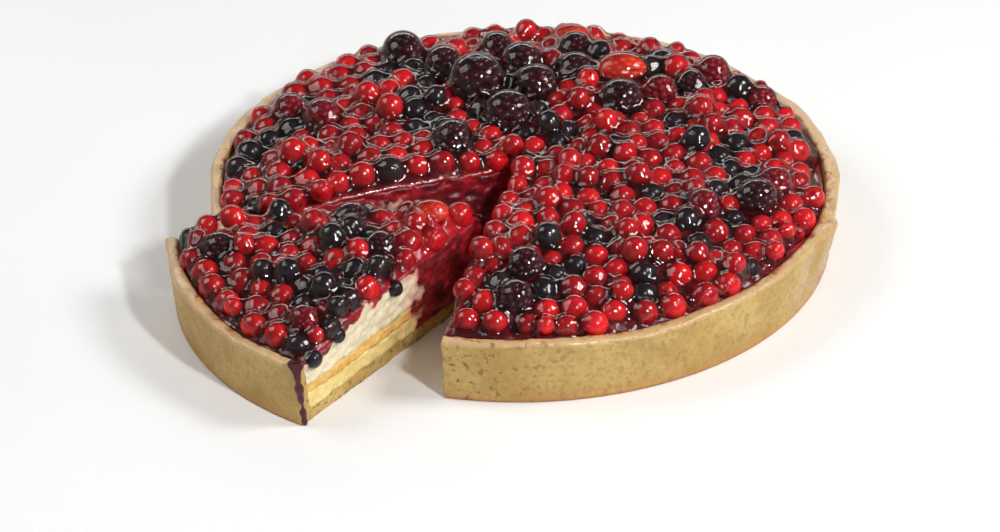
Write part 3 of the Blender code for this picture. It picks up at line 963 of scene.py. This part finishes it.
class Terrain:
    """Heights over a square net that covers one body."""

    def __init__(self, body, pitch):
        self.body, self.pitch = body, pitch
        reach = RIM_RADIUS + 4 * MM
        low = body.axis - reach
        count = int(2 * reach / pitch) + 1
        lines = np.arange(count) * pitch
        self.x, self.y = np.meshgrid(low[0] + lines, low[1] + lines, indexing="ij")
        self.low = low
        self.height = np.zeros_like(self.x)

    def raise_ball(self, x, y, z, half_width, half_depth, half_height):
        reach = max(half_width, half_depth)
        i = int((x - self.low[0]) / self.pitch)
        j = int((y - self.low[1]) / self.pitch)
        span = int(reach / self.pitch) + 2
        rows, columns = slice(max(i - span, 0), i + span), slice(max(j - span, 0), j + span)
        dx = (self.x[rows, columns] - x) / half_width
        dy = (self.y[rows, columns] - y) / half_depth
        inside = 1 - dx**2 - dy**2
        top = np.where(inside > 0, z + half_height * np.sqrt(np.maximum(inside, 0)), -1)
        self.height[rows, columns] = np.maximum(self.height[rows, columns], top)

    def bridge(self, radius):
        """Fills what a ball of that radius, rolled over the top, can't reach."""
        span = int(radius / self.pitch)
        shifts = range(-span, span + 1)
        arches = [
            (i, j, math.sqrt(radius**2 - (i * i + j * j) * self.pitch**2))
            for i in shifts
            for j in shifts
            if (i * i + j * j) * self.pitch**2 < radius**2
        ]
        raised = np.max([np.roll(self.height, (i, j), (0, 1)) + arch for i, j, arch in arches], axis=0)
        self.height = np.min([np.roll(raised, (i, j), (0, 1)) - arch for i, j, arch in arches], axis=0)

    def soften(self, rounds):
        for _ in range(rounds):
            h = self.height
            near = np.roll(h, 1, 0) + np.roll(h, -1, 0) + np.roll(h, 1, 1) + np.roll(h, -1, 1)
            self.height = 0.5 * h + 0.125 * near

    def sheet(self, within, skirt):
        """A mesh of the part where within is positive, its border on the zero line."""
        slope_x, slope_y = np.gradient(within, self.pitch)
        steep = np.maximum(np.hypot(slope_x, slope_y), 0.3)
        shift = np.where(np.abs(within) < 0.75 * self.pitch, within, 0) / steep**2
        x, y = self.x - shift * slope_x, self.y - shift * slope_y
        keep = within > -0.75 * self.pitch
        whole = keep[:-1, :-1] & keep[1:, :-1] & keep[1:, 1:] & keep[:-1, 1:]
        used = np.zeros_like(keep)
        for di, dj in ((0, 0), (1, 0), (1, 1), (0, 1)):
            used[di : used.shape[0] - 1 + di, dj : used.shape[1] - 1 + dj] |= whole
        number = np.cumsum(used.ravel()).reshape(used.shape) - 1
        points = np.column_stack([x[used], y[used], self.height[used]])
        i, j = np.nonzero(whole)
        corners = [number[i + di, j + dj] for di, dj in ((0, 0), (1, 0), (1, 1), (0, 1))]
        faces = [tuple(face) for face in np.column_stack(corners).tolist()]
        return with_skirt(points, faces, skirt)


def with_skirt(points, faces, depth):
    """Drops a short wall from the sheet's border."""
    seen = {}
    for face in faces:
        for first, second in zip(face, face[1:] + face[:1]):
            if (second, first) in seen:
                del seen[(second, first)]
            else:
                seen[(first, second)] = True
    border = sorted({corner for edge in seen for corner in edge})
    lower = {corner: len(points) + n for n, corner in enumerate(border)}
    dropped = points[border] - (0, 0, depth)
    faces = faces + [(b, a, lower[a], lower[b]) for a, b in seen]
    return np.vstack([points, dropped]), faces


def within_body(body, terrain, rim_inset, cut_inset):
    x, y = terrain.x, terrain.y
    gap = rim_gap(body.angle(x.ravel(), y.ravel())).reshape(x.shape)
    from_rim = inner_radius(WALL_HEIGHT) - rim_inset - 0.6 * gap - body.radius(x, y)
    return np.minimum(from_rim, body.inside_cuts(x, y) - cut_inset)


def make_juice(body, finish):
    """The deep red body of the heap, under and between the small berries. Its dark colour is painted shade
    between them as well as juice.
    """
    ground = Terrain(body, 1.5 * MM)
    within = within_body(body, ground, -0.3 * MM, 0.5 * MM)
    places = np.column_stack([ground.x.ravel(), ground.y.ravel(), np.zeros(ground.x.size)])
    lumps = unevenness(places, 7 * MM, 81).reshape(ground.x.shape)
    from_tip = np.hypot(ground.x - body.apex[0], ground.y - body.apex[1])
    mashed = eased(MASH_START, MASH_FULL, from_tip) if body is SLICE else 0 * from_tip
    swell = (3.6 + 0.9 * lumps + (3.2 + 1.1 * lumps) * mashed) * MM * eased(-1 * MM, 5 * MM, within)
    low = np.maximum(cream_height(body.radius(ground.x, ground.y)), HEAP_WALL_TOP - 1.4 * MM)
    ground.height = low + swell - 0.2 * MM
    points, faces = ground.sheet(within, 1.5 * MM)
    nodes = [f"{body.name}_berries"]
    piece = make_piece(f"{body.name}_juice", points, faces, finish, nodes)
    thin = 0.6 * eased(3 * MM, 0, body.inside_cuts(points[:, 0], points[:, 1]))
    if body is SLICE:
        reach = np.hypot(points[:, 0] - body.apex[0], points[:, 1] - body.apex[1])
        thin = np.maximum(thin, 0.8 * eased(MASH_START, MASH_FULL, reach))
    paint(piece, thin=thin, deep=0 * thin)


def make_jelly(body, heap, finish):
    """Clear jelly rolled over the berries, with a hollow meniscus wherever they nearly meet."""
    film = 0.5 * MM
    cover = Terrain(body, 0.78 * MM)
    within = within_body(body, cover, 0.2 * MM, -0.3 * MM)
    base = np.maximum(cream_height(body.radius(cover.x, cover.y)) + 1.6 * MM, HEAP_WALL_TOP)
    cover.height = base + 1.8 * MM * eased(0, 5 * MM, within)
    for (x, y, z, radius), kind in zip(heap.balls, heap.kinds):
        if kind != "large":
            cover.raise_ball(x, y, z, *[radius + film] * 3)
    for _, middle, half in large_berries(body):
        sizes = [size + film for size in half]
        cover.raise_ball(middle.x, middle.y, middle.z, *sizes)
    lowest = cover.height - 0.38 * MM
    cover.bridge(3.6 * MM)
    cover.soften(3)
    cover.height = np.maximum(cover.height, lowest)
    points, faces = cover.sheet(within, 1.2 * MM)
    make_piece(f"{body.name}_jelly", points, faces, finish)


def make_drip(finish):
    """Dark juice that has run down the slice's front corner from the rim to the foot."""
    rows, around = 60, 14
    turn = np.linspace(0, 2 * math.pi, around, endpoint=False)
    points = []
    for share in np.linspace(0, 1, rows + 1):
        height = (WALL_HEIGHT + 1.5 * MM) * (1 - share)
        corner = outer_radius(min(height, WALL_HEIGHT)) - (1.0 + 0.9 * share) * MM
        place = SLICE.place(np.array([corner]), np.array([SLICE.end]), np.array([height]))[0]
        bead = 0.35 * math.sin(share * 15 + 1) + 0.2 * math.sin(share * 34)
        size = (1.9 - 0.8 * share + bead + 1.2 * max(0, 1 - share * 5)) * MM
        ring = np.column_stack([size * direction(turn), 0 * turn])
        points.append(place + ring)
    faces = []
    for row in range(rows):
        here, below = row * around, (row + 1) * around
        for step in range(around):
            following = (step + 1) % around
            faces.append((here + step, here + following, below + following, below + step))
    faces += [tuple(range(around))[::-1], tuple(range(rows * around, (rows + 1) * around))]
    piece = make_piece("slice_juice_drip", np.vstack(points), faces, finish)
    turn_outwards(piece)
    paint(piece, thin=np.zeros((rows + 1) * around), deep=np.full((rows + 1) * around, 0.7))


# ---------------------------------------------------------------- studio


def make_floor():
    f = Finish("floor")
    f.set(Roughness=0.7)
    shade = f.ranged(f.noise(3, 2), 0.3, 0.7)
    material = f.finish(f.mixed(shade, (0.84, 0.84, 0.84), (0.88, 0.88, 0.88)))
    mesh = bpy.data.meshes.new("floor")
    size = 6.0
    corners = [(-size, -size, 0), (size, -size, 0), (size, size, 0), (-size, size, 0)]
    mesh.from_pydata(corners, [], [(0, 1, 2, 3)])
    mesh.materials.append(material)
    floor = bpy.data.objects.new("floor", mesh)
    bpy.context.scene.collection.objects.link(floor)


def softbox(name, place, target, size, energy, colour=(1, 1, 1)):
    light = bpy.data.lights.new(name, "AREA")
    light.shape, light.size, light.size_y = "RECTANGLE", *size
    light.energy, light.color = energy, colour
    lamp = bpy.data.objects.new(name, light)
    lamp.location = place
    lamp.rotation_euler = (Vector(target) - Vector(place)).to_track_quat("-Z", "Y").to_euler()
    bpy.context.scene.collection.objects.link(lamp)


def make_light():
    world = bpy.data.worlds.new("studio")
    bpy.context.scene.world = world
    world.use_nodes = True
    nodes, links = world.node_tree.nodes, world.node_tree.links
    background = nodes["Background"]
    background.inputs["Color"].default_value = (1.0, 0.985, 0.965, 1)
    split = nodes.new("ShaderNodeSeparateXYZ")
    links.new(nodes.new("ShaderNodeTexCoord").outputs["Generated"], split.inputs[0])
    height = nodes.new("ShaderNodeMapRange")
    links.new(split.outputs["Z"], height.inputs["Value"])
    for name, number in (("From Min", 0.0), ("From Max", 0.55), ("To Min", 0.50), ("To Max", 0.14)):
        height.inputs[name].default_value = number
    links.new(height.outputs["Result"], background.inputs["Strength"])
    centre = (0, 0, 0.03)
    softbox("back_light", (-0.10, 1.30, 0.62), centre, (1.6, 0.22), 5)
    softbox("left_light", (-0.95, 0.10, 1.10), centre, (0.8, 0.8), 7)
    softbox("key_light", (1.05, -0.25, 1.05), centre, (0.5, 0.4), 12)
    softbox("front_light", (0.55, -1.05, 1.00), centre, (0.10, 0.16), 12)
    bpy.context.scene.view_settings.view_transform = "Standard"
    bpy.context.scene.view_settings.look = "None"


def make_camera():
    """A long lens that looks along +Y and down, with a slight roll."""
    elevation, roll = math.radians(30.9), math.radians(-0.78)
    lens, sensor = 400, 36
    frame_width = RIM_RADIUS * 1000 / 317
    distance = frame_width * lens / sensor
    target = Vector((*(TART.axis + np.array((-0.077, -0.140)) * RIM_RADIUS), 0))
    data = bpy.data.cameras.new("camera")
    data.lens, data.sensor_width = lens, sensor
    data.clip_start, data.clip_end = 0.1, 40
    camera = bpy.data.objects.new("camera", data)
    back = Vector((0, -math.cos(elevation), math.sin(elevation)))
    camera.location = target + back * distance
    level = (-back).to_track_quat("-Z", "Y").to_matrix()
    camera.rotation_euler = (level @ Euler((0, 0, roll)).to_matrix()).to_euler()
    bpy.context.scene.collection.objects.link(camera)
    bpy.context.scene.camera = camera


# ---------------------------------------------------------------- assembly


def make_finishes():
    red = ((0.28, 0.003, 0.011), (0.66, 0.008, 0.014), (0.08, 0.01, 0.008))
    black = ((0.010, 0.008, 0.011), (0.024, 0.010, 0.014), (0.03, 0.015, 0.01))
    dark = ((0.014, 0.006, 0.009), (0.075, 0.006, 0.014), (0.02, 0.005, 0.005))
    wine = ((0.14, 0.005, 0.014), (0.30, 0.008, 0.02), (0.05, 0.005, 0.005))
    bright = ((0.50, 0.008, 0.012), (0.68, 0.03, 0.02), (0.65, 0.30, 0.05))
    return {
        "redcurrant": berry_finish("redcurrant", red, (0.74, 0.016, 0.014), 0.3, 0.22),
        "blackcurrant": berry_finish("blackcurrant", black, (0.03, 0.02, 0.026), 0.0, 0.24),
        "bramble": berry_finish("bramble", dark, (0.05, 0.006, 0.012), 0.1, 0.22),
        "raspberry": berry_finish("raspberry", wine, (0.34, 0.012, 0.02), 0.25, 0.25),
        "strawberry": berry_finish("strawberry", bright, (0.70, 0.06, 0.03), 0.3, 0.25),
    }


def build():
    make_camera()
    make_light()
    make_floor()
    # The juice material's dark reds are partly painted shade between the berries.
    crust, juice, jelly = crust_finish(), juice_and_shade_finish(), jelly_finish()
    finishes, fillings = make_finishes(), filling_finishes()
    heaps = []
    for number, body in enumerate(BODIES):
        make_crust(body, crust)
        make_fillings(body, fillings)
        make_juice(body, juice)
        draw = np.random.default_rng(SEED + number)
        heap = fill_heap(body, draw)
        choose_kinds(body, heap, draw)
        if body is SLICE:
            add_edge_berries(heap)
        heaps.append(heap)
        make_jelly(body, heap, jelly)
    make_currants(heaps, finishes)
    make_large_berries(finishes)
    make_drip(juice)


build()
